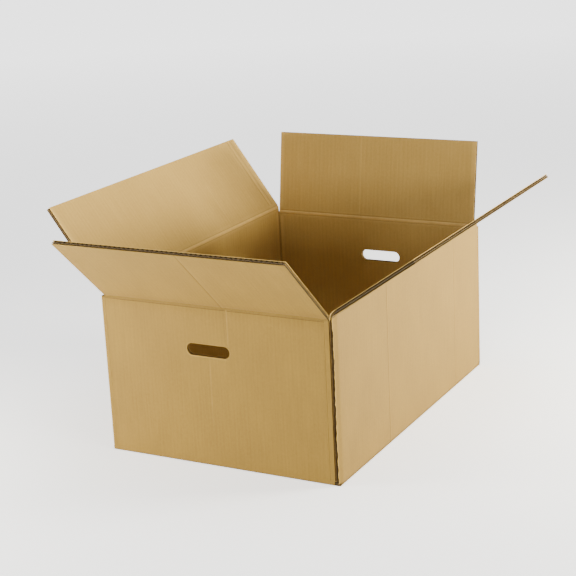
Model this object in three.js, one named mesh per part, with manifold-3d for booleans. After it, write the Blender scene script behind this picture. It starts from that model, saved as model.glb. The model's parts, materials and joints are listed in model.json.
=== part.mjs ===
// Regular slotted carton in double-wall corrugated board, standing with its four top flaps folded
// back and its four bottom flaps closed. The walls are one wrapped sheet: three rounded corner folds
// and a fourth corner where a glued tab sits inside the right-hand wall. Every flap turns on its own
// crease. Millimetres, +X right, +Y back, +Z up, origin at the centre of the underside.
import * as THREE from 'three';
import { mergeVertices } from 'three/addons/utils/BufferGeometryUtils.js';
import Module from 'manifold-3d';

// The carton, outside.
const WIDTH = 400;               // left wall to right wall
const LENGTH = 580;              // front wall to back wall
const BOARD = 6.6;               // thickness of the double-wall board
const GAP = 0.3;                 // clearance between neighbouring pieces
const MINOR_CREASE = 256;        // height of the front and back top creases
const MAJOR_CREASE = 263;        // the side creases sit one board higher, so their flaps close on top

// Creases: the axis stands clear of the outer face, and both boards end in a 45 degree mitre.
const AXIS_OUT = 0.3;
const MITRE_SET_BACK = 0.6;
const SIDE_CLEARANCE = 1.5;      // a minor flap to the inner face of each side wall
const MAJOR_FRONT_INSET = 1;     // a side top flap's ends, from the front and back faces: the back
const MAJOR_BACK_INSET = 5.8;    // end clears the steeper back flap

// Corners and the glued joint.
const FOLD_SIZE = 7.6;           // a corner fold's reach along each of its two walls
const FOLD_ROUND = 3;            // outer rounding of a corner fold
const FOLD_TOP = MINOR_CREASE - 1;
const FOLD_BOTTOM = BOARD + 2 * GAP;
const FOLD_STEPS = 6;
const GLUE = 0.4;
const GLUE_ROOM = GLUE + 2 * 0.25;
const RAW_EDGE_INSET = 1;        // cut edge of the right wall, behind the front face
const TAB_REACH = 46;            // from the front face to the free edge of the tab
const TAB_TOP = MINOR_CREASE - 8;
const TAB_BOTTOM = 2 * BOARD + 4;
const TAB_TAPER = 12;

// Hand holes, long and round-ended, in the front and back walls.
const HOLE_LENGTH = 75;
const HOLE_HEIGHT = 19.5;
const HOLE_CENTRE_Z = 187;
const HOLE_OFFSET = -12;         // along each wall, to the left seen from outside
const HOLE_STEPS = 12;

// Flap depths from crease to free edge, and how far each top flap leans out from upright.
const TOP_FLAPS = {
  front: { depth: 166, lean: 47 },
  right: { depth: 156, lean: 55.5 },
  back: { depth: 147, lean: 8.5 },
  left: { depth: 151, lean: 36 },
};
const OUTER_BOTTOM_DEPTH = WIDTH / 2 - 1;
const OUTER_BOTTOM_INSET = 2.5;
const INNER_BOTTOM_DEPTH = 200;

const WALL_COLOURS = { front: 0xb99b64, right: 0xcbaf80, back: 0xb89a66, left: 0xc0a26c };
const FLAP_COLOURS = { front: 0xcdaf7d, right: 0xcbad7b, back: 0xaa8250, left: 0xc8aa73 };
const FOLD_COLOUR = 0xc4a672;
const FLOOR_COLOURS = { left: 0xae8f5c, right: 0xb29360, front: 0x8a6a3c, back: 0x86663a };
const GLUE_COLOUR = 0xd8cfae;

const wasm = await Module();
wasm.setup();

const radians = THREE.MathUtils.degToRad;

function makeMesh(name, geometry, colour) {
  const material = new THREE.MeshStandardMaterial({ color: colour, roughness: 0.9, metalness: 0 });
  const mesh = new THREE.Mesh(geometry, material);
  mesh.name = name;
  return mesh;
}

// A board whose section is given as [outward, up] points, running along local Y between two ends.
function boardAlongY(section, from, to) {
  const shape = new THREE.Shape(section.map(([out, up]) => new THREE.Vector2(out, up)));
  const geometry = new THREE.ExtrudeGeometry(shape, { depth: to - from, bevelEnabled: false });
  geometry.rotateX(Math.PI / 2);
  geometry.translate(0, to, 0);
  return geometry;
}

function uprightPrism(shape, bottom, top) {
  const geometry = new THREE.ExtrudeGeometry(shape, { depth: top - bottom, bevelEnabled: false });
  geometry.translate(0, 0, bottom);
  return geometry;
}

function toSolid(geometry) {
  const bare = geometry.clone();
  bare.deleteAttribute('normal');
  bare.deleteAttribute('uv');
  const merged = mergeVertices(bare, 1e-4);
  const mesh = new wasm.Mesh({
    numProp: 3,
    vertProperties: new Float32Array(merged.attributes.position.array),
    triVerts: new Uint32Array(merged.index.array),
  });
  return new wasm.Manifold(mesh);
}

function cut(geometry, cutter) {
  const mesh = toSolid(geometry).subtract(toSolid(cutter)).getMesh();
  const result = new THREE.BufferGeometry();
  result.setAttribute('position', new THREE.BufferAttribute(mesh.vertProperties, 3));
  result.setIndex(new THREE.BufferAttribute(mesh.triVerts, 1));
  result.computeVertexNormals();
  return result;
}

// Each wall has a group turned so that local +X points out of the wall and local +Z is up. Local +Y
// then runs along the wall: +X of the carton at the front, +Y at the right, and so round.
// spanStart and spanEnd are the flat part of the wall between its corners.
const cornerEnd = FOLD_SIZE + GAP;
const tabFaceX = WIDTH / 2 - BOARD - GLUE_ROOM;
const WALLS = {
  front: {
    heading: -90, reach: LENGTH / 2, minor: true,
    spanStart: -(WIDTH / 2 - cornerEnd), spanEnd: tabFaceX - cornerEnd,
  },
  right: {
    heading: 0, reach: WIDTH / 2, minor: false,
    spanStart: -(LENGTH / 2 - RAW_EDGE_INSET), spanEnd: LENGTH / 2 - cornerEnd,
  },
  back: {
    heading: 90, reach: LENGTH / 2, minor: true,
    spanStart: -(WIDTH / 2 - cornerEnd), spanEnd: WIDTH / 2 - cornerEnd,
  },
  left: {
    heading: 180, reach: WIDTH / 2, minor: false,
    spanStart: -(LENGTH / 2 - cornerEnd), spanEnd: LENGTH / 2 - cornerEnd,
  },
};

function handHoleCutter() {
  const straight = (HOLE_LENGTH - HOLE_HEIGHT) / 2;
  const radius = HOLE_HEIGHT / 2;
  const shape = new THREE.Shape();
  shape.absarc(straight, 0, radius, -Math.PI / 2, Math.PI / 2, false);
  shape.absarc(-straight, 0, radius, Math.PI / 2, 3 * Math.PI / 2, false);
  const options = { depth: 3 * BOARD, bevelEnabled: false, curveSegments: HOLE_STEPS };
  const geometry = new THREE.ExtrudeGeometry(shape, options);
  geometry.rotateX(Math.PI / 2);
  geometry.rotateZ(Math.PI / 2);
  geometry.translate(-2 * BOARD, HOLE_OFFSET, HOLE_CENTRE_Z);
  return geometry;
}

// A side wall is mitred at both creases. A front or back wall is square at the bottom, where it
// stands on the outer bottom flaps with its own bottom flap butted against its inner face.
function wallPanel(side) {
  const wall = WALLS[side];
  const crease = wall.minor ? MINOR_CREASE : MAJOR_CREASE;
  const outerTop = crease - MITRE_SET_BACK;
  const outerBottom = wall.minor ? BOARD + GAP : MITRE_SET_BACK - AXIS_OUT;
  const innerBottom = wall.minor ? outerBottom : outerBottom + BOARD;
  const section = [[0, outerBottom], [0, outerTop], [-BOARD, outerTop - BOARD], [-BOARD, innerBottom]];
  let geometry = boardAlongY(section, wall.spanStart, wall.spanEnd);
  if (wall.minor) geometry = cut(geometry, handHoleCutter());
  const mesh = makeMesh(`${side}_panel`, geometry, WALL_COLOURS[side]);
  mesh.position.x = wall.reach;
  return mesh;
}

// A top flap, in a group that sits on its crease axis and leans out by the flap's rest angle.
function topFlap(side) {
  const wall = WALLS[side];
  const { depth, lean } = TOP_FLAPS[side];
  const minorHalf = WIDTH / 2 - BOARD - SIDE_CLEARANCE;
  const majorFront = LENGTH / 2 - MAJOR_FRONT_INSET;
  const majorBack = LENGTH / 2 - MAJOR_BACK_INSET;
  let ends = [-minorHalf, minorHalf];
  if (side === 'right') ends = [-majorFront, majorBack];
  if (side === 'left') ends = [-majorBack, majorFront];
  const outer = -AXIS_OUT;
  const inner = outer - BOARD;
  const section = [
    [outer, MITRE_SET_BACK], [outer, depth], [inner, depth], [inner, MITRE_SET_BACK + BOARD],
  ];
  const hinge = new THREE.Group();
  hinge.position.set(wall.reach + AXIS_OUT, 0, wall.minor ? MINOR_CREASE : MAJOR_CREASE);
  hinge.rotation.y = radians(lean);
  hinge.add(makeMesh(`top_flap_${side}`, boardAlongY(section, ...ends), FLAP_COLOURS[side]));
  return hinge;
}

// An outer bottom flap hangs from a mitred crease and is folded in to lie flat under the carton.
function outerBottomFlap(side) {
  const outer = -AXIS_OUT;
  const inner = outer - BOARD;
  const section = [
    [outer, -OUTER_BOTTOM_DEPTH], [outer, -MITRE_SET_BACK],
    [inner, -MITRE_SET_BACK - BOARD], [inner, -OUTER_BOTTOM_DEPTH],
  ];
  const half = LENGTH / 2 - OUTER_BOTTOM_INSET;
  const hinge = new THREE.Group();
  hinge.position.set(WALLS[side].reach + AXIS_OUT, 0, -AXIS_OUT);
  hinge.rotation.y = Math.PI / 2;
  hinge.add(makeMesh(`bottom_flap_${side}`, boardAlongY(section, -half, half), FLOOR_COLOURS[side]));
  return hinge;
}

// An inner bottom flap lies on the outer pair; its axis is its own upper edge at the wall. The front
// one is cut narrower beside the glued tab, so that it can swing up past it.
function innerBottomFlap(side) {
  const start = -(WIDTH / 2 - BOARD - SIDE_CLEARANCE);
  const end = side === 'front' ? tabFaceX - BOARD - SIDE_CLEARANCE : -start;
  const section = [
    [-INNER_BOTTOM_DEPTH, -GAP - BOARD], [-GAP, -GAP - BOARD], [-GAP, -GAP], [-INNER_BOTTOM_DEPTH, -GAP],
  ];
  const hinge = new THREE.Group();
  hinge.position.set(WALLS[side].reach - BOARD, 0, 2 * (BOARD + GAP));
  hinge.add(makeMesh(`bottom_flap_${side}`, boardAlongY(section, start, end), FLOOR_COLOURS[side]));
  return hinge;
}

// A corner fold: an L of board between two walls, rounded outside, with its inner corner at the given
// centre. startAngle is the direction of the first of its two walls.
function cornerFoldGeometry(centreX, centreY, startAngle) {
  const shape = new THREE.Shape();
  const roundCentre = FOLD_SIZE - FOLD_ROUND;
  shape.moveTo(FOLD_SIZE, 0);
  shape.absarc(roundCentre, roundCentre, FOLD_ROUND, 0, Math.PI / 2, false);
  shape.lineTo(0, FOLD_SIZE);
  shape.absarc(0, 0, FOLD_SIZE - BOARD, Math.PI / 2, 0, true);
  const options = { depth: FOLD_TOP - FOLD_BOTTOM, bevelEnabled: false, curveSegments: FOLD_STEPS };
  const geometry = new THREE.ExtrudeGeometry(shape, options);
  geometry.rotateZ(startAngle);
  geometry.translate(centreX, centreY, FOLD_BOTTOM);
  return geometry;
}

function cornerFold(name, centreX, centreY, startAngle) {
  return makeMesh(name, cornerFoldGeometry(centreX, centreY, startAngle), FOLD_COLOUR);
}

// The fold of the glued tab stands under the front top flap, so its top is cut to the same 45 degree
// mitre as the front wall.
function tabFold() {
  const centreX = tabFaceX - FOLD_SIZE;
  const top = MINOR_CREASE - MITRE_SET_BACK;
  const past = 2 * FOLD_SIZE;
  const above = [[past, top + past], [-past, top + past], [-past, top - past]];
  const mitre = boardAlongY(above, centreX - past, centreX + past);
  mitre.rotateZ(radians(WALLS.front.heading));
  mitre.translate(0, -WALLS.front.reach, 0);
  const fold = cornerFoldGeometry(centreX, FOLD_SIZE - LENGTH / 2, -Math.PI / 2);
  return makeMesh('tab_fold', cut(fold, mitre), FOLD_COLOUR);
}

// The tab's outline on the inside of the right wall, tapered towards its free edge.
function tabOutline(margin) {
  const root = -LENGTH / 2 + cornerEnd + margin;
  const free = -LENGTH / 2 + TAB_REACH - margin;
  return [
    [root, TAB_BOTTOM + margin], [free, TAB_BOTTOM + TAB_TAPER + margin],
    [free, TAB_TOP - TAB_TAPER - margin], [root, TAB_TOP - margin],
  ];
}

// A flat sheet of the given [y, z] outline, from faceX inwards by its thickness.
function sheetFacingX(outline, faceX, thickness) {
  const shape = new THREE.Shape(outline.map(([y, z]) => new THREE.Vector2(y, z)));
  const geometry = new THREE.ExtrudeGeometry(shape, { depth: thickness, bevelEnabled: false });
  geometry.rotateX(Math.PI / 2);
  geometry.rotateZ(Math.PI / 2);
  geometry.translate(faceX - thickness, 0, 0);
  return geometry;
}

function gluedTab() {
  return makeMesh('glue_tab', sheetFacingX(tabOutline(0), tabFaceX, BOARD), FOLD_COLOUR);
}

function glueLine() {
  const margin = 4;
  const faceX = tabFaceX + (GLUE_ROOM + GLUE) / 2;
  return makeMesh('glue_line', sheetFacingX(tabOutline(margin), faceX, GLUE), GLUE_COLOUR);
}

const group = new THREE.Group();
for (const [side, wall] of Object.entries(WALLS)) {
  const wallGroup = new THREE.Group();
  wallGroup.rotation.z = radians(wall.heading);
  const bottomFlap = wall.minor ? innerBottomFlap(side) : outerBottomFlap(side);
  wallGroup.add(wallPanel(side), topFlap(side), bottomFlap);
  group.add(wallGroup);
}

const foldX = WIDTH / 2 - FOLD_SIZE;
const foldY = LENGTH / 2 - FOLD_SIZE;
group.add(
  cornerFold('corner_fold_front_left', -foldX, -foldY, Math.PI),
  cornerFold('corner_fold_back_left', -foldX, foldY, Math.PI / 2),
  cornerFold('corner_fold_back_right', foldX, foldY, 0),
  tabFold(),
  gluedTab(),
  glueLine(),
);

export default group;
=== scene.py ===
# The looks of an open carton in double-wall corrugated board. Every wall and flap is drawn as the
# board really is: three paper liners with a fine and a coarse fluted sheet between them.
import json
import math

import bpy
import numpy as np
from mathutils import Matrix, Vector, noise

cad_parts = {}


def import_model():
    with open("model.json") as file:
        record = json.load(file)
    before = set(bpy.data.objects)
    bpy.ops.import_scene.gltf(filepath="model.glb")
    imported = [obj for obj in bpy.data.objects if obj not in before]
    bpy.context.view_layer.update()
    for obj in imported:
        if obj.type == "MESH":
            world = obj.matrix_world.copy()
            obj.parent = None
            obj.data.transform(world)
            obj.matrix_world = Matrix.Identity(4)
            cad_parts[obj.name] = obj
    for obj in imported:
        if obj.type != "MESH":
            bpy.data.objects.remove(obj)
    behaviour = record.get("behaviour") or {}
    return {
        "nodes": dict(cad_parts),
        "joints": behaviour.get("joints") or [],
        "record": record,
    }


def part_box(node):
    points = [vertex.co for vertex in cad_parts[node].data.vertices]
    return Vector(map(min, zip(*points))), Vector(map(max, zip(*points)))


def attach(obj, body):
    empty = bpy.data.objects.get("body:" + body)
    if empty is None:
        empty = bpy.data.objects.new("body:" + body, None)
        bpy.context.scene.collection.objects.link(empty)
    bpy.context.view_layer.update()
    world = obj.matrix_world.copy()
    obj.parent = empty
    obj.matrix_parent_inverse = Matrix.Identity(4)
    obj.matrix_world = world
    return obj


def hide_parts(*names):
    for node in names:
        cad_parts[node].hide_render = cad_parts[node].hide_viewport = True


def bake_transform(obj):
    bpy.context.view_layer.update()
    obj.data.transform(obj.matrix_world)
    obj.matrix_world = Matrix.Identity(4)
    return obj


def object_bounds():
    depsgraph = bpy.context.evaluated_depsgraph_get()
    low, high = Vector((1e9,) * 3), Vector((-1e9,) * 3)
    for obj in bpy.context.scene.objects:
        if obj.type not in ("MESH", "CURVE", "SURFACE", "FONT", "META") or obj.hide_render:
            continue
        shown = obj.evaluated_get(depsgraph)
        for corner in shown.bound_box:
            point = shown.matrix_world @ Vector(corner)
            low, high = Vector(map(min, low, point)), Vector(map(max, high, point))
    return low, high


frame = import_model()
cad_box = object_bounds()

# ------------------------------------------------------------------ the board, in metres
B_PITCH = 0.0065                 # fine flutes, under the outer liner
C_PITCH = 0.00795                # coarse flutes, under the inner liner
LINER = 0.00055
MIDDLE_LINER = 0.0006
FLUTE_PAPER = 0.00034
B_SHARE = 0.43                   # of the room that the liners leave
WASHBOARD = 0.00006              # how far a liner sinks between two flute crests
LINER_STEPS = 4                  # columns in one flute pitch
FLUTE_STEPS = 8                  # the same, for a fluted sheet
RIPPLE_FADE = 0.012              # the liners' ripple dies out this close to a side edge
TUNNEL = 0.022                   # how far in from an open edge the flutes are drawn
TUNNEL_RIM = 0.0018              # how far behind a cut end the flutes turn dark with painted shade
CRUSHED = 0.0015                 # how far behind a cut along the flutes the fluted sheets end
FRINGE = 0.004                   # width of the torn strip along the raw edge at the glued corner
FRINGE_CALM = 0.005              # the torn strip's lift dies out over this length at each end
EDGE_CRUSH = 0.0026              # how far the outer liner is pressed in behind the torn edge
EDGE_CRUSH_WIDTH = 0.014         # how far in from the edge that reaches
SIDE_TONE = 0.008                # depth over which the painted shade behind a torn edge and the pale fuzz along a clean cut fade
SCORE = 0.0027                   # from a crease to the score line pressed on each side of it
SCORE_HALF = 0.0008
HOLE_LENGTH = 0.075              # a hand hole, a slot with round ends
HOLE_HEIGHT = 0.0195
OUTER_SLOT, INNER_SLOT, FLUTE_SLOT = 0, 1, 2     # places in BOARD_PAPERS

Z_UP = Vector((0, 0, 1))
OUTWARD = {
    "front": Vector((0, -1, 0)), "right": Vector((1, 0, 0)),
    "back": Vector((0, 1, 0)), "left": Vector((-1, 0, 0)),
}
JOINTS = {joint["name"]: joint for joint in frame["joints"]}


def span(node, direction):
    """Lowest and highest reach of a CAD node along a row axis or its opposite."""
    low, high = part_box(node)
    ends = (direction.dot(low), direction.dot(high))
    return min(ends), max(ends)


BOARD = span("bottom_flap_left", Z_UP)[1] - span("bottom_flap_left", Z_UP)[0]
FLUTE_ROOM = BOARD - 2 * LINER - MIDDLE_LINER
B_HEIGHT = FLUTE_ROOM * B_SHARE
C_HEIGHT = FLUTE_ROOM - B_HEIGHT


class Place:
    """A board's own axes: s across the flutes, v along them, n out of the outer face."""

    def __init__(self, origin, along, normal):
        self.origin = np.array(origin)
        self.v = np.array(along)
        self.n = np.array(normal)
        self.s = np.cross(self.v, self.n)

    def points(self, s, v, n):
        s, v, n = np.broadcast_arrays(s, v, n)
        return (
            self.origin + s[..., None] * self.s + v[..., None] * self.v + n[..., None] * self.n
        )


# ------------------------------------------------------------------ meshes
class Shell:
    """Gathers closed sheets into one mesh, each with a front and a back grid of points."""

    def __init__(self):
        self.points, self.uvs, self.wear, self.faces, self.slots = [], [], [], [], []
        self.count = 0

    def add(self, front, back, uv, slot, keep=None, wear=0.0, back_wear_and_shade=None):
        """keep says which cells of the grid are there. The tones of the front and back grids run from
        -1 dark to 1 pale: pale wear and painted highlights above 0, painted shade below it.
        """
        columns, rows = front.shape[:2]
        if keep is None:
            keep = np.ones((columns - 1, rows - 1), bool)
        if back_wear_and_shade is None:
            back_wear_and_shade = wear
        first = self.count
        second = first + columns * rows
        self.count = second + columns * rows
        for grid, tone in ((front, wear), (back, back_wear_and_shade)):
            self.points.append(grid.reshape(-1, 3))
            self.uvs.append(uv.reshape(-1, 2))
            self.wear.append(np.broadcast_to(np.clip(tone, -1, 1), (columns, rows)).reshape(-1))

        def f(i, j):
            return first + i * rows + j

        def b(i, j):
            return second + i * rows + j

        def quads(cells, corners):
            i, j = np.nonzero(cells)
            self.faces.append(np.stack([side(i + di, j + dj) for side, di, dj in corners], 1))
            self.slots.append(np.full(len(i), slot))

        ringed = np.pad(keep, 1)
        quads(keep, [(f, 0, 0), (f, 1, 0), (f, 1, 1), (f, 0, 1)])
        quads(keep, [(b, 0, 0), (b, 0, 1), (b, 1, 1), (b, 1, 0)])
        quads(keep & ~ringed[:-2, 1:-1], [(f, 0, 0), (f, 0, 1), (b, 0, 1), (b, 0, 0)])
        quads(keep & ~ringed[2:, 1:-1], [(f, 1, 1), (f, 1, 0), (b, 1, 0), (b, 1, 1)])
        quads(keep & ~ringed[1:-1, :-2], [(f, 1, 0), (f, 0, 0), (b, 0, 0), (b, 1, 0)])
        quads(keep & ~ringed[1:-1, 2:], [(f, 0, 1), (f, 1, 1), (b, 1, 1), (b, 0, 1)])

    def build(self, name, materials):
        points = np.concatenate(self.points)
        faces = np.concatenate(self.faces)
        slots = np.concatenate(self.slots)
        used, compact = np.unique(faces, return_inverse=True)
        faces = compact.reshape(faces.shape)
        mesh = bpy.data.meshes.new(name)
        mesh.from_pydata(points[used].tolist(), [], faces.tolist())
        for material in materials:
            mesh.materials.append(material)
        mesh.polygons.foreach_set("material_index", slots.astype(np.int32))
        corners = np.empty(len(mesh.loops), np.int32)
        mesh.loops.foreach_get("vertex_index", corners)
        uvs = np.concatenate(self.uvs)[used]
        layer = mesh.uv_layers.new(name="Board")
        layer.data.foreach_set("uv", uvs[corners].astype(np.float32).ravel())
        # per-point tone: pale wear and painted highlights above 0, painted shade below 0
        wear_and_shade_tone = mesh.attributes.new("wear", "FLOAT", "POINT")
        wear_and_shade_tone.data.foreach_set("value", np.concatenate(self.wear)[used].astype(np.float32))
        mesh.shade_smooth()
        mesh.set_sharp_from_angle(angle=math.radians(35))
        mesh.validate()
        piece = bpy.data.objects.new(name, mesh)
        bpy.context.scene.collection.objects.link(piece)
        return piece


def grid_uv(s, v):
    return np.stack(np.broadcast_arrays(s, v), -1)


# ------------------------------------------------------------------ relief drawn into the board
def bump_line(distance, half_width):
    """1 on a line, falling smoothly to 0 at half_width from it."""
    t = np.clip(1 - np.abs(distance) / half_width, 0, 1)
    return t * t * (3 - 2 * t)


def mark(at, half_width=0.002, depth=0.00035, tone=0.3, low=-1.0, high=1.0, inside=False):
    """A line along the flutes from low to high, pressed into the outer or the inner face. A tone above
    0 paints the line pale and one below 0 paints it dark: painted shade in the dent, with a painted
    highlight where a pale line runs beside a dark one."""
    return {
        "at": at, "half": half_width, "depth": depth, "tone": tone,
        "low": low, "high": high, "inside": inside,
    }


def marks_sum(marks, s, v, inside, what):
    """The depth or the tone of all the marks on one face."""
    total = np.zeros(np.broadcast(s, v).shape)
    for line in marks:
        if line["inside"] == inside:
            ends = np.clip((v - line["low"]) / 0.01, 0, 1) * np.clip((line["high"] - v) / 0.01, 0, 1)
            total = total + line[what] * bump_line(s - line["at"], line["half"]) * ends
    return total


def score_depth(scores, v):
    """Score lines across the flutes: (v, depth) pairs."""
    total = np.zeros(np.shape(v))
    for at, depth in scores:
        total = total + depth * bump_line(v - at, SCORE_HALF)
    return total


# ------------------------------------------------------------------ a board
def columns_for(start, end, pitch, steps, extra):
    """Evenly spaced columns, steps of them in a pitch, and the extra ones where relief needs them."""
    count = max(2, round((end - start) / pitch * steps))
    return np.unique(np.round(np.concatenate([np.linspace(start, end, count + 1), extra]), 7))


def hole_half_height(hole, s):
    """Half of a hand hole's opening at s, and 0 beyond its round ends."""
    reach = hole["half_length"] - hole["radius"]
    over = np.clip(np.abs(s - hole["s"]) - reach, 0, None)
    return np.sqrt(np.clip(hole["radius"] ** 2 - over ** 2, 0, None))


def add_board(
    shell, place, s_ends, v_start, v_end, outer=0.0, mitre=(0, 0), hole=None, marks=(),
    scores=(), rows=6, open_ends=(True, True), fringe=0.0,
):
    """v_start and v_end are numbers or functions of s, at the outer face; mitre says how far each
    end draws in with depth. outer is the outer face's n. open_ends says which flute ends show."""
    s0, s1 = s_ends
    hole_columns = []
    if hole:
        turn = np.linspace(0, math.pi / 2, 9)
        curve = (hole["half_length"] - hole["radius"]) + hole["radius"] * np.sin(turn)
        hole_columns = np.concatenate([hole["s"] - curve, hole["s"] + curve])
    mark_columns = [line["at"] + k * line["half"] for line in marks for k in (-1, -0.5, 0, 0.5, 1)]
    extra = np.array([x for x in (*hole_columns, *mark_columns) if s0 < x < s1])

    def row_lines(s, start, end):
        low, high = float(np.max(start)), float(np.min(end))
        lines = [start, end]
        inner = list(np.linspace(low, high, rows + 1)[1:-1])
        for at, _depth in scores:
            inner += [at + k * SCORE_HALF for k in (-1, -0.5, 0, 0.5, 1)]
        inner += [low + TUNNEL * 0.9, high - TUNNEL * 0.9, low + TUNNEL_RIM, high - TUNNEL_RIM]
        inner = [v for v in inner if low + 2e-4 < v < high - 2e-4]
        if hole:
            inner = [v for v in inner if abs(v - hole["v"]) > hole["radius"] + 0.003]
            half = hole_half_height(hole, s)
            outside = np.clip(np.abs(s - hole["s"]) - hole["half_length"], 0, hole["radius"])
            half = np.where(half > 0, half, outside)
            lines += [hole["v"] - half, hole["v"] + half]
            inner += [hole["v"] + k * (hole["radius"] + TUNNEL * 0.6) for k in (-1, 1)]
        lines += inner
        table = np.stack([np.broadcast_to(line, s.shape) for line in lines], 1)
        return table[:, np.argsort(table.mean(0))]

    def ends_at(s, depth):
        start = v_start(s) if callable(v_start) else np.full(s.shape, v_start)
        end = v_end(s) if callable(v_end) else np.full(s.shape, v_end)
        if fringe:
            depth = depth + edge_crush(s - s0) * (1 - depth / BOARD)
        return start + mitre[0] * depth, end - mitre[1] * depth

    def hole_cells(s, v):
        if not hole:
            return np.zeros((len(s) - 1, v.shape[1] - 1), bool)
        mid_s = ((s[1:] + s[:-1]) / 2)[:, None]
        mid_v = (v[1:, 1:] + v[1:, :-1] + v[:-1, 1:] + v[:-1, :-1]) / 4
        return np.abs(mid_v - hole["v"]) < hole_half_height(hole, mid_s)

    def tunnel_painted_shade(v, start, end):
        """Painted shade inside the open flutes, from a short way behind their cut ends."""
        depth = np.minimum(v - start[:, None], end[:, None] - v)
        return -0.9 * np.clip(depth / TUNNEL_RIM, 0, 1)

    # painted shade behind a torn edge, pale fuzz along a clean cut
    def side_shade_and_fuzz(s):
        """Painted shade on the fluted sheets behind the torn edge, which lies in the dark gap at the
        glued corner, and pale fuzz along a clean cut.
        """
        first = np.clip(1.3 - (s - s0) / SIDE_TONE, 0, 1)
        last = np.clip(1.3 - (s1 - s) / SIDE_TONE, 0, 1)
        return (-1.0 if fringe else 0.5) * first + 0.5 * last

    def cut_tone(s):
        """Pale fibres on the side cut of a liner between the fluted sheets."""
        clean = np.abs(s - s1) < 1e-6
        if not fringe:
            clean = clean | (np.abs(s - s0) < 1e-6)
        return clean.astype(float)

    def face_offset(s, v, depth):
        outer_part = 1 - depth / BOARD
        pressed = marks_sum(marks, s, v, True, "depth") * (1 - outer_part)
        pressed = pressed - marks_sum(marks, s, v, False, "depth") * outer_part
        if fringe:
            pressed = pressed - edge_crush(s - s0) * outer_part
        return outer - depth + pressed

    def add_liner(top, base, pitch, slot, visible_below):
        left = s0 if visible_below or top > 0 else s0 + fringe
        s = columns_for(left, s1, pitch, LINER_STEPS, extra)
        start, end = ends_at(s, base)
        v = row_lines(s, start, end)
        across = s[:, None]
        ripple = WASHBOARD * (0.5 - 0.5 * np.cos(2 * math.pi * across / pitch))
        ripple = ripple * np.clip(np.minimum(across - left, s1 - across) / RIPPLE_FADE, 0, 1)
        press = score_depth(scores, v)
        if visible_below:
            press = 0.5 * press
            front = face_offset(across, v, top) + 0 * v
            back = face_offset(across, v, base) + ripple + press
        else:
            front = face_offset(across, v, top) - ripple - press
            back = face_offset(across, v, base) - press
        # the marks' tones, and painted shade along the score lines
        wear = marks_sum(marks, across, v, visible_below, "tone") - score_depth(scores, v) / 0.0004
        # painted shade inside the open flutes
        dark = tunnel_painted_shade(v, start, end)
        tones = [wear, dark]
        if top > 0:
            tones = [dark + side_shade_and_fuzz(across) + cut_tone(across)] * 2
        if visible_below:
            tones = [dark + side_shade_and_fuzz(across), wear + side_shade_and_fuzz(across)]
        shell.add(
            place.points(across, v, front), place.points(across, v, back),
            grid_uv(across, v), slot, ~hole_cells(s, v), *tones,
        )

    def add_flutes(top, base, pitch):
        s = columns_for(s0 + CRUSHED, s1 - CRUSHED, pitch, FLUTE_STEPS, extra)
        start, end = ends_at(s, base)
        v = row_lines(s, start, end)
        across = s[:, None]
        swing = (base - top) / 2 - FLUTE_PAPER / 2
        middle = face_offset(across, v, (top + base) / 2)
        wave = middle + swing * np.cos(2 * math.pi * across / pitch)
        mid_s = ((s[1:] + s[:-1]) / 2)[:, None]
        mid_v = (v[1:, 1:] + v[1:, :-1] + v[:-1, 1:] + v[:-1, :-1]) / 4
        shown = (mid_s < s0 + 1.5 * pitch) | (mid_s > s1 - 1.5 * pitch)
        if open_ends[0]:
            shown = shown | (mid_v < start.max() + TUNNEL)
        if open_ends[1]:
            shown = shown | (mid_v > end.min() - TUNNEL)
        shown = shown & np.ones(mid_v.shape, bool)
        if hole:
            shown = shown | (
                (np.abs(mid_s - hole["s"]) < hole["half_length"] + TUNNEL * 0.6)
                & (np.abs(mid_v - hole["v"]) < hole["radius"] + TUNNEL * 0.6)
            )
        shell.add(
            place.points(across, v, wave + FLUTE_PAPER / 2),
            place.points(across, v, wave - FLUTE_PAPER / 2),
            grid_uv(across, v), FLUTE_SLOT, shown & ~hole_cells(s, v),
            side_shade_and_fuzz(across) + tunnel_painted_shade(v, start, end) + 0.1,
        )

    b_top = LINER
    b_base = b_top + B_HEIGHT
    c_top = b_base + MIDDLE_LINER
    c_base = c_top + C_HEIGHT
    add_liner(0.0, b_top, B_PITCH, OUTER_SLOT, False)
    add_flutes(b_top, b_base, B_PITCH)
    add_liner(b_base, c_top, C_PITCH, FLUTE_SLOT, False)
    add_flutes(c_top, c_base, C_PITCH)
    add_liner(c_base, BOARD, C_PITCH, INNER_SLOT, True)
    if fringe:
        add_fringe(shell, place, s0, fringe, ends_at, outer)


def edge_crush(inward):
    """How far the outer liner is crushed in behind a torn edge."""
    return EDGE_CRUSH * bump_line(inward, EDGE_CRUSH_WIDTH)


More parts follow.
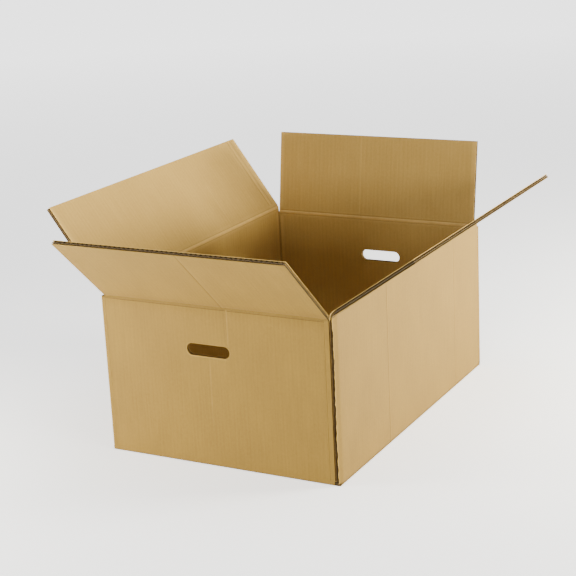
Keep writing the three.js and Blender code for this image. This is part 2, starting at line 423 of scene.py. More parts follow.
def add_fringe(shell, place, s0, width, ends_at, outer):
    """The torn edge of the outer liner along the first side of a board."""
    share = np.linspace(1, 0, 5)[:, None]
    start, end = ends_at(s0 + width * (1 - share), LINER)
    v = start + (end - start) * np.linspace(0, 1, 110)[None, :]
    heights = v[-1]
    torn = np.array([noise.noise(Vector((h * 260, 0.3, 7.0))) for h in heights])
    torn = torn + 0.6 * np.array([noise.noise(Vector((h * 900, 4.1, 2.0))) for h in heights])
    lift = np.array([noise.noise(Vector((h * 120, 9.7, 1.0))) for h in heights])
    slow = np.array([noise.noise(Vector((h * 95, 2.2, 5.0))) for h in heights])
    ragged = np.clip(0.0011 + 0.0013 * torn + 0.0022 * slow, -0.0008, 0.0034)
    s = s0 + width * (1 - share) + ragged * share
    calm = np.clip(np.minimum(v - start, end - v) / FRINGE_CALM, 0, 1)
    front = outer - edge_crush(s - s0) + (0.0004 + 0.0005 * lift) * share ** 2 * calm
    wear = np.broadcast_to(share, s.shape)
    shell.add(
        place.points(s, v, front), place.points(s, v, front - LINER), grid_uv(s, v), OUTER_SLOT,
        wear=wear,
    )


# ------------------------------------------------------------------ materials
def set_inputs(node, **values):
    for name, value in values.items():
        node.inputs[name].default_value = value


def paper(name, light, dark, flute_pitch, fleck=0.5, rough=0.82, stripe=0.05, gloss=0.25):
    """Kraft paper: cloudy pulp, fine fibres and dark flecks, a per-point tone that paints pale wear and
    painted highlights above 0 and painted shade below 0, and faint stripes of painted washboard shade
    over the flutes beneath."""
    material = bpy.data.materials.new(name)
    material.use_nodes = True
    tree = material.node_tree
    nodes, links = tree.nodes, tree.links
    shader = nodes["Principled BSDF"]
    uv = nodes.new("ShaderNodeUVMap")
    uv.uv_map = "Board"

    def node(kind, **settings):
        made = nodes.new(kind)
        for key, value in settings.items():
            setattr(made, key, value)
        return made

    def mapped(scale):
        mapping = node("ShaderNodeMapping")
        mapping.inputs["Scale"].default_value = scale
        links.new(uv.outputs["UV"], mapping.inputs["Vector"])
        return mapping.outputs["Vector"]

    def noise_at(scale, detail, roughness=0.6):
        texture = node("ShaderNodeTexNoise")
        set_inputs(texture, Scale=1.0, Detail=detail, Roughness=roughness)
        links.new(mapped(scale), texture.inputs["Vector"])
        return texture.outputs["Fac"]

    def remap(value, low, high, to_low, to_high):
        ranged = node("ShaderNodeMapRange")
        set_inputs(ranged, **{"From Min": low, "From Max": high, "To Min": to_low, "To Max": to_high})
        links.new(value, ranged.inputs["Value"])
        return ranged.outputs["Result"]

    def math_node(operation, first, second):
        made = node("ShaderNodeMath", operation=operation)
        for socket, value in zip(made.inputs, (first, second)):
            if isinstance(value, (int, float)):
                socket.default_value = value
            else:
                links.new(value, socket)
        return made.outputs["Value"]

    def mix(blend, factor, first, second):
        made = node("ShaderNodeMix", data_type="RGBA", blend_type=blend)
        values = {0: factor, 6: first, 7: second}
        for index, value in values.items():
            socket = made.inputs[index]
            if isinstance(value, (int, float, tuple)):
                socket.default_value = value
            else:
                links.new(value, socket)
        return made.outputs[2]

    clouds = remap(noise_at((14, 9, 1), 5), 0.3, 0.7, 0, 1)
    mottle = remap(noise_at((310, 220, 1), 3), 0.32, 0.68, 0, 1)
    fibres = remap(noise_at((700, 2600, 1), 3), 0.35, 0.65, 0, 1)
    streaks = remap(noise_at((420, 14, 1), 2), 0.35, 0.65, 0, 1)
    tone = math_node("ADD", math_node("MULTIPLY", clouds, 0.3), math_node("MULTIPLY", fibres, 0.25))
    tone = math_node("ADD", tone, math_node("MULTIPLY", mottle, 0.25))
    tone = math_node("ADD", tone, math_node("MULTIPLY", streaks, 0.2))
    colour = mix("MIX", tone, dark, light)

    # painted shade: faint dark stripes at the flute pitch, standing in for the shade of the washboard
    # ripple
    washboard_shade_bands = node("ShaderNodeTexWave", wave_type="BANDS", bands_direction="X", wave_profile="SIN")
    set_inputs(washboard_shade_bands, Scale=2 * math.pi / (20 * flute_pitch), Distortion=0.0, Detail=0.0)
    links.new(mapped((1, 1, 1)), washboard_shade_bands.inputs["Vector"])
    shade = remap(washboard_shade_bands.outputs["Fac"], 0, 1, 1 - stripe, 1.0)
    colour = mix("MULTIPLY", 1.0, colour, node_grey(nodes, links, shade))

    specks = node("ShaderNodeTexVoronoi", feature="F1")
    set_inputs(specks, Scale=1.0, Randomness=1.0)
    links.new(mapped((260, 150, 1)), specks.inputs["Vector"])
    speck = remap(specks.outputs["Distance"], 0.03, 0.11, fleck, 0)
    sparse = remap(noise_at((90, 60, 1), 2), 0.52, 0.62, 0, 1)
    speck_colour = tuple(c * 0.45 for c in dark[:3]) + (1,)
    colour = mix("MIX", math_node("MULTIPLY", speck, sparse), colour, speck_colour)

    # the per-point tone: above 0 it mixes in the pale colour, for pale wear and painted highlights;
    # below 0 it mixes in a dark colour as painted shade
    wear_and_shade_tone = node("ShaderNodeAttribute", attribute_type="GEOMETRY", attribute_name="wear")
    patches = noise_at((60, 90, 1), 4)
    patchy = remap(patches, 0.3, 0.7, 0.35, 0.8)
    painted_shade_strength = remap(patches, 0.3, 0.7, 0.6, 0.95)
    pale = tuple(min(1, c * 1.3 + 0.02) for c in light[:3]) + (1,)
    # the colour of painted shade
    painted_shade_colour = (dark[0] * 0.24, dark[1] * 0.17, dark[2] * 0.10, 1)
    pale_wear_and_highlight = math_node("MAXIMUM", wear_and_shade_tone.outputs["Fac"], 0.0)
    # the amount of painted shade
    pressed = math_node("MAXIMUM", math_node("MULTIPLY", wear_and_shade_tone.outputs["Fac"], -1.0), 0.0)
    colour = mix("MIX", math_node("MULTIPLY", pale_wear_and_highlight, patchy), colour, pale)
    colour = mix("MIX", math_node("MULTIPLY", pressed, painted_shade_strength), colour, painted_shade_colour)
    links.new(colour, shader.inputs["Base Color"])

    links.new(remap(fibres, 0, 1, rough - 0.06, rough + 0.08), shader.inputs["Roughness"])
    shader.inputs["Specular IOR Level"].default_value = gloss

    bump = node("ShaderNodeBump")
    set_inputs(bump, Strength=0.35, Distance=0.00012)
    height = math_node("ADD", fibres, math_node("MULTIPLY", noise_at((160, 260, 1), 3), 1.2))
    links.new(height, bump.inputs["Height"])
    links.new(bump.outputs["Normal"], shader.inputs["Normal"])
    return material


def node_grey(nodes, links, value):
    made = nodes.new("ShaderNodeCombineColor")
    for channel in ("Red", "Green", "Blue"):
        links.new(value, made.inputs[channel])
    return made.outputs["Color"]


OUTER_PAPER = paper(
    "outer_liner", (0.215, 0.1275, 0.0172, 1), (0.141, 0.0805, 0.0101, 1), B_PITCH, stripe=0.04,
)
INNER_PAPER = paper(
    "inner_liner", (0.574, 0.360, 0.090, 1), (0.423, 0.257, 0.058, 1), C_PITCH, stripe=0.04,
)
FLUTE_MEDIUM = paper(
    "fluting", (0.165, 0.112, 0.052, 1), (0.085, 0.055, 0.023, 1), C_PITCH, rough=0.9, gloss=0.05,
)
# the outer liner a touch darker and without stripes, so that it matches the panels' average under their
# painted washboard shade
FOLD_PAPER = paper(
    "folded_liner", (0.209, 0.1238, 0.0168, 1), (0.137, 0.0786, 0.0098, 1), B_PITCH, stripe=0.0,
)
INNER_FOLD_PAPER = paper(
    "folded_inner_liner", (0.584, 0.367, 0.094, 1), (0.433, 0.264, 0.061, 1), C_PITCH, stripe=0.0,
)
ADHESIVE = paper(
    "adhesive", (0.55, 0.46, 0.28, 1), (0.42, 0.34, 0.19, 1), C_PITCH, fleck=0.0, rough=0.5, stripe=0.0,
)
BOARD_PAPERS = (OUTER_PAPER, INNER_PAPER, FLUTE_MEDIUM)


# ------------------------------------------------------------------ walls
def wall_place(side):
    return Place(OUTWARD[side] * span(f"{side}_panel", OUTWARD[side])[1], Z_UP, OUTWARD[side])


def hand_hole(side):
    """The hole's middle and half sizes in the wall's own s and v, from the stated opening."""
    opening = next(
        o for o in frame["record"]["physics"]["openings"] if o["name"] == f"hand_hole_{side}"
    )
    low, high = (Vector(corner) for corner in opening["box_m"])
    centre = (low + high) / 2
    return {
        "s": float(np.array(centre) @ wall_place(side).s), "v": centre.z,
        "half_length": HOLE_LENGTH / 2, "radius": HOLE_HEIGHT / 2,
    }


CORNER_CREASE = 0.0028           # half width of the crushed line in an inside corner, darkened with painted shade
FRONT_WIDTH = span("front_panel", Vector((1, 0, 0)))
RIGHT_LENGTH = span("right_panel", Vector((0, 1, 0)))


def along(ends, share):
    return ends[0] + (ends[1] - ends[0]) * share


def wall(side, marks=(), fringe=0.0):
    """A wall with its score lines, and painted shade along the creases in its folded inside corners."""
    node = f"{side}_panel"
    place = wall_place(side)
    s_ends = span(node, Vector(place.s))
    bottom, top = span(node, Z_UP)
    minor = side in ("front", "back")
    crease_z = JOINTS[f"top_{side}_crease"]["pos_m"][2]
    scores = [(crease_z - SCORE, 0.0004)]
    if not minor:
        scores.append((bottom + SCORE, 0.0003))
    folded_ends = s_ends[1:] if fringe else s_ends
    # painted shade along each inside corner
    corners = [mark(at, CORNER_CREASE, 0.0004, -0.9, inside=True) for at in folded_ends]
    shell = Shell()
    add_board(
        shell, place, s_ends, bottom, top, mitre=(0 if minor else 1, 1),
        hole=hand_hole(side) if minor else None, marks=[*marks, *corners], scores=scores, rows=5,
        open_ends=(minor, False), fringe=fringe,
    )
    piece = shell.build(f"{side}_wall_board", BOARD_PAPERS)
    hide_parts(node)
    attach(piece, "carton")


LIP = 0.0015                     # how far a hand hole's pressed lip spreads onto the outer face
LIP_TURN = 0.35                  # the share of the lip that lies on the face, before it rolls in
LIP_DEPTH = 0.0046               # how far it is pressed into the board, within 0.0008
# the bottom lip's section below the wall's own edge: height over the ground, n and tone, the tone
# darkening towards the ground as painted shade
BOTTOM_LIP = [
    (0.0045, 0, 0), (0.0028, -0.0001, -0.1), (0.0018, -0.0003, -0.5), (0.0011, -0.0007, -0.9),
    (0.0008, -0.0012, -1.0),
]


def facing(turn, middle, spread):
    """1 around one heading of a ring, falling smoothly to 0 at spread degrees from it."""
    away = np.abs((np.degrees(turn) - middle + 180) % 360 - 180)
    return bump_line(away, spread)


def hole_lip(side):
    """The outer liner pressed in around a hand hole by the die, as a thin rolled edge."""
    hole = hand_hole(side)
    place = wall_place(side)
    straight = hole["half_length"] - hole["radius"]
    turn = np.linspace(0, 2 * math.pi, 121)[:, None]
    roll = np.linspace(0, 1, 15)[None, :]
    headings = [Vector((math.cos(t) * 9, math.sin(t) * 9, 5)) for t in turn[:, 0]]
    roughness = np.array([noise.noise(heading) for heading in headings])
    depth_in = LIP_DEPTH + 0.0008 * roughness[:, None]
    flat = np.clip(roll / LIP_TURN, 0, 1)
    rolled = np.clip((roll - LIP_TURN) / (1 - LIP_TURN), 0, 1)
    spread = LIP * (1 + 0.5 * roughness[:, None]) * (1 - flat) - 0.0003 * flat
    sink = 0.00003 + 0.00012 * np.sin(math.pi * flat) - depth_in * rolled

    def ring(offset, n):
        reach = hole["radius"] + offset
        s = hole["s"] + straight * np.sign(np.cos(turn)) * (np.abs(np.cos(turn)) > 1e-9)
        return place.points(s + reach * np.cos(turn), hole["v"] + reach * np.sin(turn), n)

    shell = Shell()
    uv = grid_uv(turn * 0.02, roll * 0.003)
    # painted highlight on the flat of the lip, strongest on two headings, and painted shade where it
    # rolls into the hole
    rim_highlight = 0.25 + 0.75 * facing(turn, 225, 75) + 0.6 * facing(turn, 10, 50)
    wear = rim_highlight * (1 - rolled) ** 4 - 0.95 * np.clip(3 * rolled, 0, 1)
    shell.add(ring(spread, sink), ring(spread + 0.0002, sink - 0.0002), uv, 0, wear=wear)
    piece = shell.build(f"{side}_hole_lip", (FOLD_PAPER,))
    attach(piece, "carton")


def bottom_lip(side, folds):
    """The outer liner of a front or back wall bulging down over the ends of the bottom flaps, darkened
    towards the ground with painted shade.
    """
    place = wall_place(side)
    reach = [span(fold, Vector(place.s)) for fold in folds]
    s = np.linspace(reach[0][0] + 0.001, reach[1][1] - 0.001, 120)[:, None]
    top = span(f"{side}_panel", Z_UP)[0] + 0.0004
    v, n, tone = (np.array([column]) for column in zip((top, 0, 0), *BOTTOM_LIP))
    sag = np.array([noise.noise(Vector((a * 25, 8.0, 3.0))) for a in s[:, 0]])[:, None]
    v = v + 0.0003 * sag * (v < 0.005)
    tone = np.broadcast_to(tone, v.shape)
    shell = Shell()
    shell.add(place.points(s, v, n), place.points(s, v, n - LINER), grid_uv(s, v), 0, wear=tone)
    piece = shell.build(f"{side}_bottom_lip", (OUTER_PAPER,))
    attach(piece, "carton")


# dark tones here are painted shade in dents; a pale line beside a dark one is a painted highlight
wall("front", marks=[
    mark(along(FRONT_WIDTH, 0.57), 0.0022, 0.00045, 0.55, low=0.19),
    mark(along(FRONT_WIDTH, 0.57) - 0.004, 0.002, 0.0002, -0.15, low=0.2),
    mark(along(FRONT_WIDTH, 0.48), 0.0022, 0.0004, 0.4, low=0.08, high=0.178),
])
wall("right", fringe=FRINGE, marks=[
    mark(along(RIGHT_LENGTH, 0.32), 0.0016, 0.0005, -0.45),
    mark(along(RIGHT_LENGTH, 0.32) + 0.003, 0.0022, 0.0001, 0.3),
    mark(along(RIGHT_LENGTH, 0.8), 0.0018, 0.0003, -0.2),
])
wall("back")
wall("left")
hole_lip("front")
hole_lip("back")
bottom_lip("front", ("corner_fold_front_left", "tab_fold"))
bottom_lip("back", ("corner_fold_back_right", "corner_fold_back_left"))


# ------------------------------------------------------------------ flaps
def flap_lean(side):
    """Rest lean from upright: the crease's lower limit is where the flap lies closed."""
    return math.radians(-JOINTS[f"top_{side}_crease"]["range_deg"][0] - 90)


def crease_axis(joint_name):
    return Vector(JOINTS[joint_name]["pos_m"])


def axis_gap(side):
    """How far a crease axis stands outside the wall's outer face."""
    axis = crease_axis(f"top_{side}_crease")
    return axis.dot(OUTWARD[side]) - span(f"{side}_panel", OUTWARD[side])[1]


def top_flap_place(side):
    lean = flap_lean(side)
    outward = OUTWARD[side]
    up = outward * math.sin(lean) + Z_UP * math.cos(lean)
    normal = outward * math.cos(lean) - Z_UP * math.sin(lean)
    return Place(crease_axis(f"top_{side}_crease"), up, normal)


def flap_depth(side):
    """From the crease axis to the free edge, worked out from the leaning flap's highest point."""
    lean, gap = flap_lean(side), axis_gap(side)
    rise = span(f"top_flap_{side}", Z_UP)[1] - crease_axis(f"top_{side}_crease").z
    return (rise - (gap + BOARD) * math.sin(lean)) / math.cos(lean)


MITRE = JOINTS["top_front_crease"]["pos_m"][2] - span("front_panel", Z_UP)[1]


def top_flap(side, marks=()):
    place = top_flap_place(side)
    s_ends = span(f"top_flap_{side}", Vector(place.s))
    shell = Shell()
    add_board(
        shell, place, s_ends, MITRE, flap_depth(side), outer=-axis_gap(side), mitre=(1, 0),
        marks=marks, scores=[(SCORE, 0.0004)], rows=6, open_ends=(False, True),
    )
    piece = shell.build(f"{side}_top_flap_board", BOARD_PAPERS)
    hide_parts(f"top_flap_{side}")
    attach(piece, f"top_{side}")


FLAP_WIDTH = {side: span(f"top_flap_{side}", Vector(top_flap_place(side).s)) for side in OUTWARD}
# dark tones here are painted shade in dents; a pale line beside or between dark ones is a painted
# highlight
top_flap("front", marks=[
    mark(along(FLAP_WIDTH["front"], 0.545), 0.0014, 0.0004, -0.5),
    mark(along(FLAP_WIDTH["front"], 0.545) + 0.0026, 0.002, 0.0001, 0.3),
])
top_flap("right", marks=[mark(along(FLAP_WIDTH["right"], 0.32), 0.0022, 0.0004)])
top_flap("back", marks=[mark(along(FLAP_WIDTH["back"], 0.57), 0.002, 0.0003, inside=True)])
top_flap("left", marks=[
    mark(FLAP_WIDTH["left"][0] + 0.026, 0.0016, 0.0005, -0.55, inside=True),
    mark(FLAP_WIDTH["left"][0] + 0.0215, 0.0026, 0.0001, 0.5, inside=True),
    mark(FLAP_WIDTH["left"][0] + 0.015, 0.0014, 0.0004, -0.4, inside=True),
    mark(along(FLAP_WIDTH["left"], 0.29), 0.0018, 0.0003, high=0.09, inside=True),
])


def outer_bottom_flap(side):
    """One of the long pair that meet at the middle and that the carton stands on."""
    node = f"bottom_flap_{side}"
    place = Place(crease_axis(f"bottom_{side}_crease"), -OUTWARD[side], -Z_UP)
    s_ends = span(node, Vector(place.s))
    reach = OUTWARD[side].dot(crease_axis(f"bottom_{side}_crease")) - span(node, OUTWARD[side])[0]
    shell = Shell()
    add_board(
        shell, place, s_ends, MITRE, reach, outer=-axis_gap(side), mitre=(1, 0),
        scores=[(SCORE, 0.0003)], rows=2, open_ends=(False, True),
    )
    piece = shell.build(f"{side}_bottom_flap_board", BOARD_PAPERS)
    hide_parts(node)
    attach(piece, f"bottom_{side}")


def inner_bottom_flap(side):
    """One of the short pair, which lie on top of the long ones."""
    node = f"bottom_flap_{side}"
    axis = crease_axis(f"bottom_{side}_crease")
    place = Place(axis, -OUTWARD[side], -Z_UP)
    s_ends = span(node, Vector(place.s))
    low, high = span(node, OUTWARD[side])
    from_axis = OUTWARD[side].dot(axis)
    shell = Shell()
    add_board(
        shell, place, s_ends, from_axis - high, from_axis - low,
        outer=axis.z - span(node, Z_UP)[0], rows=2, open_ends=(False, True),
    )
    piece = shell.build(f"{side}_bottom_flap_board", BOARD_PAPERS)
    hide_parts(node)
    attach(piece, f"bottom_{side}")


for side_name in ("left", "right"):
    outer_bottom_flap(side_name)
for side_name in ("front", "back"):
    inner_bottom_flap(side_name)


# ------------------------------------------------------------------ creases
BAND = 0.007                     # width of the crushed band on the inside of a top crease
BAND_THICKNESS = 0.0016
STRIP_TONES = [-0.3, -0.05, 0.2, 0.25, 0.2, -0.05, -0.3]     # from wall to flap: painted shade at each end, and a painted highlight, palest on the fold


def turned(points, lean):
    """(n, z) points of the upright wall turned outward about the crease axis by lean."""
    points = np.asarray(points, float)
    c, s = math.cos(lean), math.sin(lean)
    return np.stack([points[:, 0] * c + points[:, 1] * s, points[:, 1] * c - points[:, 0] * s], 1)


def crease_path(side):
    """The inner liner across a top crease, as (n, z) from the axis: wall, crushed band, flap."""
    lean, gap = flap_lean(side), axis_gap(side)
    inner = -gap - BOARD
    fold = max(0.0006, (BAND - (BOARD - 0.0004) * lean) / 2)
    dip, run_in, arch = 0.0005, 0.0011, 0.0009
    wall_side = [
        (inner, -MITRE - BOARD), (inner, -fold - 2 * run_in), (inner, -fold - run_in),
        (inner + dip, -fold),
    ]
    flap_side = turned([(n, -z) for n, z in reversed(wall_side)], lean)
    start, end = np.array(wall_side[-1]), flap_side[0]
    middle = (start + end) / 2
    out = middle / np.linalg.norm(middle)
    shares = np.linspace(0, 1, 8)[1:-1]
    band = [start + (end - start) * t + out * arch * math.sin(math.pi * t) for t in shares]
    return np.array([*wall_side, *band, *flap_side])


def top_crease(side):
    """The crushed band on the inside of a top crease, and the middle liner behind it, painted pale
    along the fold as a painted highlight and crushed wear, and dark along its two score lines as
    painted shade.
    """
    place = Place(crease_axis(f"top_{side}_crease"), Z_UP, OUTWARD[side])
    s_ends = span(f"top_flap_{side}", Vector(place.s))
    s = columns_for(*s_ends, C_PITCH, 2, [])[:, None]
    path = crease_path(side)
    radius = np.linalg.norm(path, axis=1, keepdims=True)
    length = np.concatenate([[0], np.cumsum(np.linalg.norm(np.diff(path, axis=0), axis=1))])
    wobble = np.array([[noise.noise(Vector((a * 60, b * 500, 0))) for b in length] for a in s[:, 0]])
    weight = np.sin(math.pi * length / length[-1]) * 0.00025
    shell = Shell()
    uv = grid_uv(s, length[None, :])

    def layer(shrink, thickness, slot, wear):
        outer_path = path * (radius * shrink - thickness) / radius
        back = path * shrink
        front_points = place.points(s, outer_path[None, :, 1], outer_path[None, :, 0])
        back_points = place.points(s, back[None, :, 1], back[None, :, 0])
        lift = (wobble * weight)[..., None] * place.n
        shell.add(front_points + lift, back_points + lift, uv, slot, wear=wear)

    # painted shade along the two score lines, and a painted highlight with crushed wear along the fold
    score_line_shade = bump_line(length - length[3], 0.0012) + bump_line(length - length[-4], 0.0012)
    fold_highlight_and_wear = 0.9 * bump_line(length - length[-1] / 2, 0.006)
    wear_and_shade_tone = np.broadcast_to(fold_highlight_and_wear - 0.8 * score_line_shade, uv.shape[:2])
    layer(1.0, BAND_THICKNESS, 0, wear_and_shade_tone)
    layer((LINER + B_HEIGHT + axis_gap(side)) / (BOARD + axis_gap(side)), MIDDLE_LINER, 1, 0 * wear_and_shade_tone)
    piece = shell.build(f"{side}_top_crease", (INNER_FOLD_PAPER, FLUTE_MEDIUM))
    ends = place.points(np.zeros(2), path[[0, -1], 1], path[[0, -1], 0])
    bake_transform(piece)


def outer_strip(name, joint_name, outward, up, lean, gap, s_ends, bulge):
    """The outer liner where it runs over a crease from the wall to the flap."""
    place = Place(crease_axis(joint_name), up, outward)
    s = columns_for(*s_ends, B_PITCH, 2, [])[:, None]
    wall_end = np.array([[-gap, -MITRE]])
    flap_end = turned([(-gap, MITRE)], lean)
    shares = np.linspace(0, 1, len(STRIP_TONES))[:, None]
    out = np.array([[math.cos(lean / 2), -math.sin(lean / 2)]])
    path = wall_end + (flap_end - wall_end) * shares + out * bulge * np.sin(math.pi * shares)
    back = path - out * LINER
    shell = Shell()
    wear_and_shade_tone = np.broadcast_to(STRIP_TONES, (len(s), len(path)))
    uv = grid_uv(s, path[None, :, 1])
    shell.add(
        place.points(s, path[None, :, 1], path[None, :, 0]),
        place.points(s, back[None, :, 1], back[None, :, 0]), uv, 0, wear=wear_and_shade_tone,
    )
    piece = shell.build(name, (FOLD_PAPER,))
    ends = np.concatenate([wall_end, flap_end])
    ends = place.points(np.zeros(2), ends[:, 1], ends[:, 0])
    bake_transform(piece)


for side_name in OUTWARD:
    top_crease(side_name)
    wall_s = np.cross(Z_UP, OUTWARD[side_name])
    outer_strip(
        f"{side_name}_top_crease_liner", f"top_{side_name}_crease", OUTWARD[side_name], Z_UP,
        flap_lean(side_name), axis_gap(side_name), span(f"top_flap_{side_name}", Vector(wall_s)),
        -0.0001,
    )
for side_name in ("left", "right"):
    down_s = np.cross(-Z_UP, OUTWARD[side_name])
    outer_strip(
        f"{side_name}_bottom_crease_liner", f"bottom_{side_name}_crease", OUTWARD[side_name], -Z_UP,
        -math.pi / 2, axis_gap(side_name), span(f"bottom_flap_{side_name}", Vector(down_s)),
        0.0001,
    )


# ------------------------------------------------------------------ corners and the glued tab
FOLD_ARC = 0.0028                # radius on the outside of a corner fold
TAB_ARC = 0.0004                 # the fold to the glue tab is pressed square
TAB_TAPER = 0.012                # how much each end of the tab draws in


def corner_path(size, arc):
    """The outside of a square corner as (x, y) points: a flat, an arc and a flat."""
    arc = max(arc, 0.0003)
    flat = size - arc
    turn = np.linspace(0, math.pi / 2, 9)
    curve = np.stack([flat + arc * np.cos(turn), flat + arc * np.sin(turn)], 1)
    lead = np.array([[size, 0], [size, 0.5 * flat], [size, 0.93 * flat]])
    return np.concatenate([lead, curve, lead[::-1, ::-1]])


def corner_fold(node, centre_signs, start_angle, mitred=False):
    """Three liners bent round a corner. centre_signs point in x and y from the centre of the bend
    to the outside of the carton."""
    low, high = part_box(node)
    radius = high.x - low.x
    centre = Vector((
        low.x if centre_signs[0] > 0 else high.x, low.y if centre_signs[1] > 0 else high.y, 0,
    ))
    arc = TAB_ARC if mitred else FOLD_ARC
    heights = np.linspace(low.z, high.z, 34)[None, :]
    c, s = math.cos(start_angle), math.sin(start_angle)
    shell = Shell()

    def ring(inset, thickness, ring_arc, slot, tone):
        faces = []
        for depth in (inset, inset + thickness):
            path = corner_path(radius - depth, ring_arc - (depth - inset))
            x = centre.x + (path[:, 0] * c - path[:, 1] * s)[:, None]
            y = centre.y + (path[:, 0] * s + path[:, 1] * c)[:, None]
            z = np.minimum(heights, high.z - (y - low.y)) if mitred else heights
            faces.append(np.stack(np.broadcast_arrays(x, y, z), -1))
        shares = np.linspace(0, 1, len(path))[:, None]
        # painted highlight on the arc of a rounded fold; painted shade on the tab fold's side that
        # faces into the gap at the glued corner
        wear_and_shade_tone = tone * bump_line(shares - 0.5, 0.3) - mitred * np.clip(8 * shares - 3.6, 0, 1)
        wear_and_shade_tone = np.broadcast_to(wear_and_shade_tone, faces[0].shape[:2])
        shell.add(faces[0], faces[1], grid_uv(shares * 2 * radius, heights), slot, wear=wear_and_shade_tone)

    ring(0.0, LINER, arc, 0, 0.0 if mitred else 0.55)
    ring(LINER + B_HEIGHT, MIDDLE_LINER, 0.003, 1, 0.0)
    # painted shade along the inside of the corner
    ring(BOARD - LINER, LINER, 0.0009, 2, -1.0)
    piece = shell.build(f"{node}_board", (FOLD_PAPER, FLUTE_MEDIUM, INNER_PAPER))
    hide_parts(node)
    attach(piece, "carton")


corner_fold("corner_fold_front_left", (-1, -1), math.pi)
corner_fold("corner_fold_back_left", (-1, 1), math.pi / 2)
corner_fold("corner_fold_back_right", (1, 1), 0)
corner_fold("tab_fold", (1, -1), -math.pi / 2, mitred=True)


def glue_tab():
    """The tab inside the right wall, narrowing towards its free edge."""
    node = "glue_tab"
    x_low, x_high = span(node, Vector((1, 0, 0)))
    place = Place(Vector((x_high, 0, 0)), Z_UP, Vector((1, 0, 0)))
    s_ends = span(node, Vector(place.s))
    low, high = span(node, Z_UP)

    def rise(s):
        return TAB_TAPER * (s - s_ends[0]) / (s_ends[1] - s_ends[0])

    shell = Shell()
    add_board(
        shell, place, s_ends, lambda s: low + rise(s), lambda s: high - rise(s), rows=3,
    )
    piece = shell.build("glue_tab_board", BOARD_PAPERS)
    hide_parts(node)
    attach(piece, "carton")


glue_tab()
glue_line = frame["nodes"]["glue_line"]
glue_line.data.materials.clear()
glue_line.data.materials.append(ADHESIVE)


# ------------------------------------------------------------------ floor, lights and camera
def plain_material(name, colour, rough):
    material = bpy.data.materials.new(name)
    material.use_nodes = True
    shader = material.node_tree.nodes["Principled BSDF"]
    set_inputs(shader, **{"Base Color": colour, "Roughness": rough, "Specular IOR Level": 0.0})
    return material


FLOOR_SIZE = 120
SHADE_SIZE = (0.39, 0.56, 1)     # a little inside the carton's own outline


def floor():
    """A pale floor that glows more further out, and a dark sheet of painted shadow on it under the
    carton, so that the seams between the bottom flaps look dark."""
    bpy.ops.mesh.primitive_plane_add(size=FLOOR_SIZE, location=(0, 0, cad_box[0].z - 0.0002))
    plane = bpy.context.object
    plane.name = "floor"
    pale = plain_material("pale_floor", (0.93, 0.93, 0.93, 1), 1.0)
    tree = pale.node_tree
    geometry = tree.nodes.new("ShaderNodeNewGeometry")
    reach = tree.nodes.new("ShaderNodeVectorMath")
    reach.operation = "LENGTH"
    glow = tree.nodes.new("ShaderNodeMapRange")
    set_inputs(glow, **{"From Min": 0.6, "From Max": 5.0, "To Min": 1.25, "To Max": 2.6})
    shader = tree.nodes["Principled BSDF"]
    set_inputs(shader, **{"Emission Color": (1, 1, 1, 1)})
    tree.links.new(geometry.outputs["Position"], reach.inputs[0])
    tree.links.new(reach.outputs["Value"], glow.inputs["Value"])
    tree.links.new(glow.outputs["Result"], shader.inputs["Emission Strength"])
    plane.data.materials.append(pale)

    bpy.ops.mesh.primitive_plane_add(size=1, location=(0, 0, cad_box[0].z - 0.0001))
    shade = bpy.context.object
    shade.name = "shade_under_carton"
    shade.scale = SHADE_SIZE
    shade.data.materials.append(plain_material("shade", (0.04, 0.04, 0.04, 1), 1.0))


WARM = (1, 0.965, 0.82)
COOL = (0.95, 0.99, 1.15)


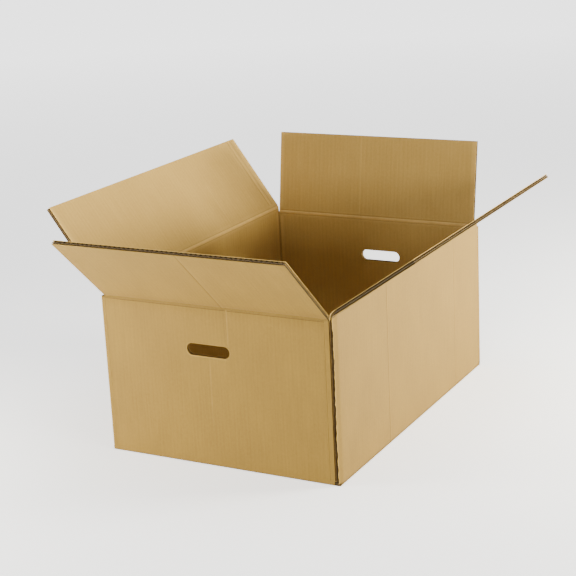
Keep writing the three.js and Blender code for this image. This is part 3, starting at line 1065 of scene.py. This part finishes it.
def area_light(name, spot, aim, size, power, colour):
    data = bpy.data.lights.new(name, "AREA")
    data.color = colour
    data.shape = "RECTANGLE"
    data.size, data.size_y = size
    data.energy = power
    light = bpy.data.objects.new(name, data)
    light.location = spot
    light.rotation_euler = (Vector(aim) - Vector(spot)).to_track_quat("-Z", "Y").to_euler()
    light.visible_camera = False
    bpy.context.scene.collection.objects.link(light)


def camera():
    azimuth, elevation, roll = (math.radians(a) for a in (28.52, 16.29, -2.84))
    distance, aim_right, aim_up = 2.496, -0.0283, 0.0746
    focal_share = 1493.4 / 576       # focal length over the width of the frame
    back = Vector((
        math.sin(azimuth) * math.cos(elevation), -math.cos(azimuth) * math.cos(elevation),
        math.sin(elevation),
    ))
    level = (-back).cross(Z_UP).normalized()
    upright = level.cross(-back)
    right = level * math.cos(roll) + upright * math.sin(roll)
    up = upright * math.cos(roll) - level * math.sin(roll)
    centre = Vector((0, 0, 0.1272))
    data = bpy.data.cameras.new("camera")
    sensor_width = 36
    data.sensor_width = sensor_width
    data.lens = sensor_width * focal_share
    data.clip_end = 100
    eye = bpy.data.objects.new("camera", data)
    turn = Matrix((right, up, back)).transposed().to_4x4()
    spot = centre + right * aim_right + up * aim_up + back * distance
    eye.matrix_world = Matrix.Translation(spot) @ turn
    bpy.context.scene.collection.objects.link(eye)
    bpy.context.scene.camera = eye


def world():
    sky = bpy.data.worlds.new("studio")
    sky.use_nodes = True
    background = sky.node_tree.nodes["Background"]
    background.inputs["Color"].default_value = (1, 1, 1, 1)
    background.inputs["Strength"].default_value = 0.15
    bpy.context.scene.world = sky


floor()
area_light("key", (2.3, -0.7, 0.66), (0, 0.1, 0.3), (1.0, 0.45), 41, WARM)
area_light("top", (0.3, 0.0, 2.5), (0, 0.3, 0.3), (1.5, 1.5), 25, COOL)
area_light("front", (0.6, -2.6, 0.75), (0, 0.3, 0.4), (0.8, 0.5), 37, COOL)
area_light("right", (1.3, 0.6, 0.43), (0, 0.4, 0.3), (0.6, 0.26), 56, WARM)
area_light("low", (1.1, 1.3, 0.12), (0.2, 0.3, 0.13), (0.4, 0.2), 24, WARM)
area_light("left", (-0.9, -0.85, 0.2), (-0.2, -0.3, 0.25), (0.4, 0.3), 31, WARM)
camera()
world()
